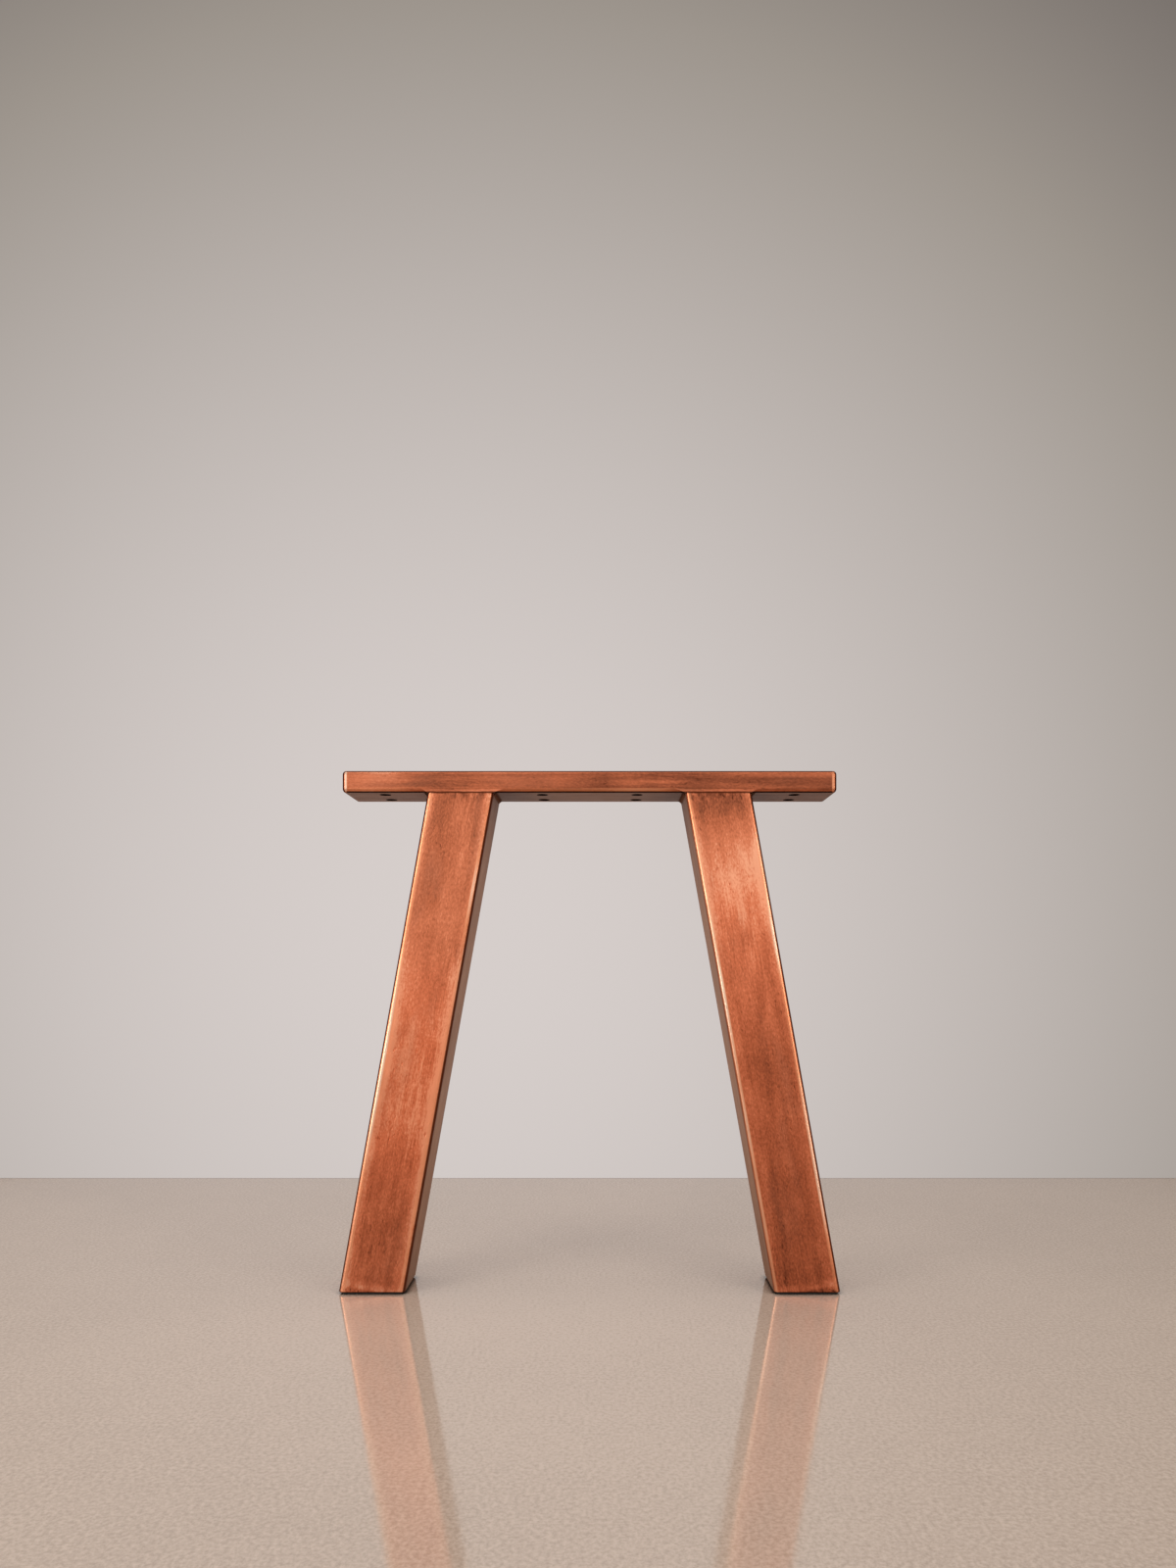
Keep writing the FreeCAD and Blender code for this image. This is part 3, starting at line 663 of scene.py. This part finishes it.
def bead(side, face, finish):
    """A closed concave fillet with overlapping ripples, where the CAD's plain fillet is."""
    hand = SIDES[side]
    name = f"weld_{side}_{face}"
    low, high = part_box(name)
    near, far = sorted((abs(low.x), abs(high.x)))
    drop = high.z - low.z
    lean = math.tan(LEAN)
    if face == "outer":
        corner = near
        rail_toe = far
    else:
        corner = far - drop * lean
        rail_toe = near
    leg_toe = corner + drop * lean
    start = Vector((rail_toe - corner, 0.0))
    end = Vector((leg_toe - corner, -drop))
    mesh = bmesh.new()
    rings = []
    half = high.y
    for i in range(BEAD_STATIONS + 1):
        y = -half + 2 * half * i / BEAD_STATIONS
        grown = math.sqrt(max(0.0, (half - abs(y)) / BEAD_RUN_OUT))
        size = min(1.0, grown * (1 - BEAD_TIP) + BEAD_TIP)
        ring = [mesh.verts.new((hand * corner, y, high.z))]
        for j in range(BEAD_ARC_POINTS + 1):
            a = j / BEAD_ARC_POINTS
            bulge = math.sin(math.pi * a)
            bow = BEAD_BOW * math.cos(math.pi * (a - 0.5))
            phase = (y + bow + BEAD_WAVER * math.sin(y * BEAD_WAVER_RATE)) / BEAD_PITCH % 1.0
            ripple = BEAD_RISE * bulge * (phase ** RIPPLE_POWER - RIPPLE_LEVEL)
            spot = start.lerp(end, a) * (1 - BEAD_SAG * bulge) * size
            reach = spot.length
            spot = spot * ((reach + ripple * size) / reach)
            ring.append(mesh.verts.new((hand * (corner + spot.x), y, high.z + spot.y)))
        rings.append(ring)
    count = len(rings[0])
    for first, second in zip(rings, rings[1:]):
        for k in range(count):
            m = (k + 1) % count
            mesh.faces.new((first[k], first[m], second[m], second[k]))
    mesh.faces.new(rings[0])
    mesh.faces.new(list(reversed(rings[-1])))
    bmesh.ops.recalc_face_normals(mesh, faces=mesh.faces)
    data = bpy.data.meshes.new(f"bead_{side}_{face}")
    mesh.to_mesh(data)
    mesh.free()
    for polygon in data.polygons:
        polygon.use_smooth = len(polygon.vertices) == 4
    piece = bpy.data.objects.new(f"bead_{side}_{face}", data)
    bpy.context.scene.collection.objects.link(piece)
    data.materials.append(finish)
    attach(piece, "root")
    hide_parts(name)


def dress(node, finish):
    """Gives a CAD node its material through the object's slots."""
    piece = NODES[node]
    if not piece.material_slots:
        piece.data.materials.append(None)
    for slot in piece.material_slots:
        slot.link = "OBJECT"
        slot.material = finish


def dress_part():
    rail = rail_finish()
    legs = {side: leg_finish(side) for side in SIDES}
    weld = weld_material()
    pad = pad_material()
    dress("top_rail", rail)
    for side in SIDES:
        dress(f"rail_cap_{side}", rail)
        dress(f"leg_{side}", legs[side])
        dress(f"foot_plate_{side}", legs[side])
        dress(f"foot_pad_{side}", pad)
        for face in ("front", "back"):
            dress(f"weld_{side}_{face}", rail)
        for face in ("inner", "outer"):
            bead(side, face, weld)


# Stage
STAGE_NAMES = ("wall", "floor")
WALL_Y = 0.779
WALL_HALF_WIDTH = 6.0
WALL_HEIGHT = 5.0
# Painted light on the wall: brightest low in the middle, darkening to painted shade at the corners
WALL_GLOW_CENTRE = (-0.30, 0.53)
WALL_GLOW_REACH = (2.29, 2.36)
WALL_STOPS = (
    (0.00, colour(0x6E6861)),
    (0.30, colour(0x78716C)),
    (0.49, colour(0x9D958D)),
    (1.00, colour(0xD6CECB)),
)
FLOOR_HALF = 6.0
# Painted pool of light in front of the part, and painted contact shadow where the part stands
FLOOR_GLOW_CENTRE = (0.0, -0.15, 0.0)
FLOOR_GLOW_PER_METRE = (2.0, 2.6, 0.0)
FLOOR_MATT_SQUARED = (1.3, 3.2)
CONTACT_REACH = 0.012
CONTACT_SHADE = (0.36, 0.95)


def plane(name, corners, finish):
    data = bpy.data.meshes.new(name)
    data.from_pydata(corners, [], [tuple(range(len(corners)))])
    data.materials.append(finish)
    made = bpy.data.objects.new(name, data)
    bpy.context.scene.collection.objects.link(made)


def seen_directly(g):
    """1 for camera, glossy and transmission rays."""
    rays = ("Is Camera Ray", "Is Glossy Ray", "Is Transmission Ray")
    path = g.node("ShaderNodeLightPath").outputs
    return g.highest(*[path[ray] for ray in rays])


def clear_from_behind(g, front):
    """Lets a view from behind or below see the part through the stage."""
    clear = g.node("ShaderNodeBsdfTransparent").outputs[0]
    behind = g.node("ShaderNodeNewGeometry").outputs["Backfacing"]
    surface = g.node("ShaderNodeMixShader", {0: behind, 1: front, 2: clear}).outputs[0]
    g.node("ShaderNodeOutputMaterial", {"Surface": surface})


def bell(g, square):
    """1 at the middle, falling off smoothly with the square of the distance."""
    return g.math("POWER", math.e, g.product(square, -1.0))


def wall_material():
    """A light grey studio wall that camera and glossy rays see glowing with painted light,
    brightest low in the middle and darkening to painted shade towards the corners.
    """
    made, g = material("studio_wall")
    axes = g.axes(g.node("ShaderNodeTexCoord").outputs["Object"])
    squares = []
    for axis, centre, reach in zip("XZ", WALL_GLOW_CENTRE, WALL_GLOW_REACH):
        share = g.math("DIVIDE", g.math("SUBTRACT", axes[axis], centre), reach)
        squares.append(g.product(share, share))
    tint = g.ramp(bell(g, g.total(*squares)), WALL_STOPS, smooth=False)
    lit = g.node("ShaderNodeEmission", {"Color": tint, "Strength": 1.0}).outputs[0]
    plain = g.node("ShaderNodeBsdfDiffuse", {"Color": colour(0xC8C0BC)}).outputs[0]
    front = g.node("ShaderNodeMixShader", {0: seen_directly(g), 1: plain, 2: lit}).outputs[0]
    clear_from_behind(g, front)
    return made


def floor_material():
    """Glossy speckled floor, with a painted pool of light in front of the part, a painted contact
    shadow from an occlusion node where the part stands, and matt far from it.
    """
    made, g = material("studio_floor")
    place = g.node("ShaderNodeTexCoord").outputs["Object"]
    cloud = g.noise(place, (2.5, 2.5, 2.5), 3.0, 0.5, 1.0)
    mottle = g.noise(place, (28, 28, 28), 4.0, 0.6, 3.0)
    speck = g.noise(place, (230, 230, 230), 3.0, 0.7, 2.0)
    apart = g.vector("MULTIPLY", g.vector("SUBTRACT", place, FLOOR_GLOW_CENTRE),
                     FLOOR_GLOW_PER_METRE)
    middle = bell(g, g.vector("DOT_PRODUCT", apart, apart))
    tone = g.total(0.5, g.centred(cloud, 0.6), g.centred(mottle, 0.4), g.centred(speck, 3.8),
                   g.product(middle, 0.35))
    tint = g.mix(tone, colour(0xAA9787), colour(0xC7B3A2))
    # Painted contact shadow from an occlusion node
    contact = g.node("ShaderNodeAmbientOcclusion", {"Distance": CONTACT_REACH}, samples=8)
    tint = g.mix(g.step(contact.outputs["AO"], *CONTACT_SHADE), colour(0x4C3F34), tint)
    matt = g.step(g.vector("DOT_PRODUCT", place, place), *FLOOR_MATT_SQUARED)
    surface = g.node("ShaderNodeBsdfPrincipled", {
        "Base Color": tint,
        "Roughness": g.total(0.07, g.centred(cloud, 0.04), g.product(matt, 0.5)),
        "Normal": g.bump(speck, 0.05, 0.0005),
        "IOR": 2.2,
    })
    clear_from_behind(g, surface.outputs[0])
    return made


def build_stage():
    w, h = WALL_HALF_WIDTH, WALL_HEIGHT
    corners = [(-w, WALL_Y, 0), (w, WALL_Y, 0), (w, WALL_Y, h), (-w, WALL_Y, h)]
    plane("wall", corners, wall_material())
    f = FLOOR_HALF
    plane("floor", [(-f, -f, 0), (f, -f, 0), (f, f, 0), (-f, f, 0)], floor_material())


# Soft rectangular panels, all turned to one point: place, width, height and radiance
LAMP_TARGET = (0, 0, 0.4)
LAMPS = {
    "key_left": ((-1.85, -1.45, 0.75), 0.9, 1.7, 4.0),
    "fill_right": ((1.75, -1.55, 0.75), 0.6, 1.4, 3.4),
    "top_soft": ((0, -0.4, 2.6), 2.4, 1.6, 1.2),
    "front_soft": ((0, -3.4, 1.1), 3.0, 1.6, 0.5),
}
WORLD_SEEN = colour(0xCFC7C4)
WORLD_LIGHT, WORLD_STRENGTH = (0.95, 0.93, 0.91, 1.0), 0.75


def lamp(name, settings, lit, mirrored):
    """A panel that lights one collection and may show in its gloss."""
    place, width, height, radiance = settings
    data = bpy.data.lights.new(name, "AREA")
    data.shape = "RECTANGLE"
    data.size, data.size_y = width, height
    data.energy = radiance * math.pi * width * height
    made = bpy.data.objects.new(name, data)
    made.location = place
    towards = Vector(LAMP_TARGET) - Vector(place)
    made.rotation_euler = towards.to_track_quat("-Z", "Y").to_euler()
    made.visible_camera = False
    made.visible_glossy = mirrored
    made.light_linking.receiver_collection = lit
    bpy.context.scene.collection.objects.link(made)


def build_world():
    world = bpy.data.worlds.new("studio")
    bpy.context.scene.world = world
    world.use_nodes = True
    g = Graph(world.node_tree)
    seen = g.node("ShaderNodeLightPath").outputs["Is Camera Ray"]
    light, shown = [
        g.node("ShaderNodeBackground", {"Color": tint, "Strength": strength}).outputs[0]
        for tint, strength in ((WORLD_LIGHT, WORLD_STRENGTH), (WORLD_SEEN, 1.0))
    ]
    both = g.node("ShaderNodeMixShader", {0: seen, 1: light, 2: shown}).outputs[0]
    g.node("ShaderNodeOutputWorld", {"Surface": both})


def build_lamps():
    """The same panels twice, for the part and for the stage, so that the floor mirrors none."""
    part = bpy.data.collections.new("lit_part")
    stage = bpy.data.collections.new("lit_stage")
    for piece in bpy.context.scene.objects:
        if piece.type == "MESH":
            (stage if piece.name in STAGE_NAMES else part).objects.link(piece)
    for group, lit, mirrored in (("part", part, True), ("stage", stage, False)):
        for name, settings in LAMPS.items():
            lamp(f"{name}_{group}", settings, lit, mirrored)


def build_camera():
    data = bpy.data.cameras.new("camera")
    data.sensor_width = SENSOR
    data.lens = FOCAL_PIXELS * SENSOR / IMAGE_HEIGHT
    data.shift_x = (IMAGE_WIDTH / 2 - AXIS_PIXEL_X) / IMAGE_HEIGHT
    data.shift_y = (AXIS_PIXEL_Y - IMAGE_HEIGHT / 2) / IMAGE_HEIGHT
    made = bpy.data.objects.new("camera", data)
    made.location = CAMERA_PLACE
    made.rotation_euler = (math.radians(90), 0, 0)
    bpy.context.scene.collection.objects.link(made)
    bpy.context.scene.camera = made


build_camera()
build_stage()
dress_part()
build_world()
build_lamps()
bpy.context.scene.view_settings.view_transform = "Standard"
